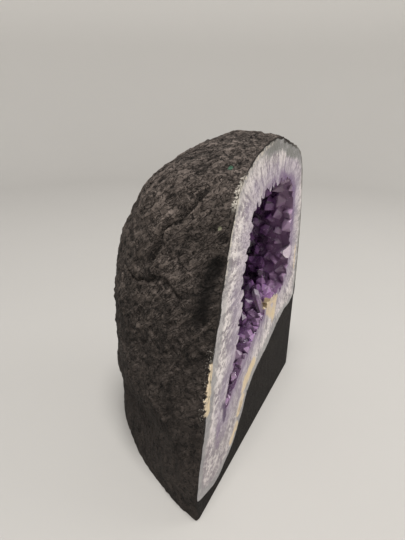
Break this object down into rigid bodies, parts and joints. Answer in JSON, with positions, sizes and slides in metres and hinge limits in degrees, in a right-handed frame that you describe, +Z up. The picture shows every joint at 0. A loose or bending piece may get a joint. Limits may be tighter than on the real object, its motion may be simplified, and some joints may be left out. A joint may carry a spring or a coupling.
{
  "type": "amethyst geode half on a cement foot",
  "caption": "Upright half geode with a sawn flat front, a pale quartz wall round a hollow of purple crystals, rough black back and a cast foot with a flat underside.",
  "frame": {"origin": "middle of the flat underside of the cement foot", "axes": "+Z up, -Y out of the sawn front, +X to the right when the front is looked at"},
  "size_m": [0.1997, 0.1133, 0.2306],
  "materials": {
    "rind": "matte",
    "quartz_wall": "satin",
    "amethyst_crust": "gloss",
    "cement_base": "matte"
  },
  "bodies": {
    "root": {"rind": "rind", "quartz_wall": "quartz_wall", "amethyst_crust": "amethyst_crust", "cement_base": "cement_base"}
  },
  "joints": []
}
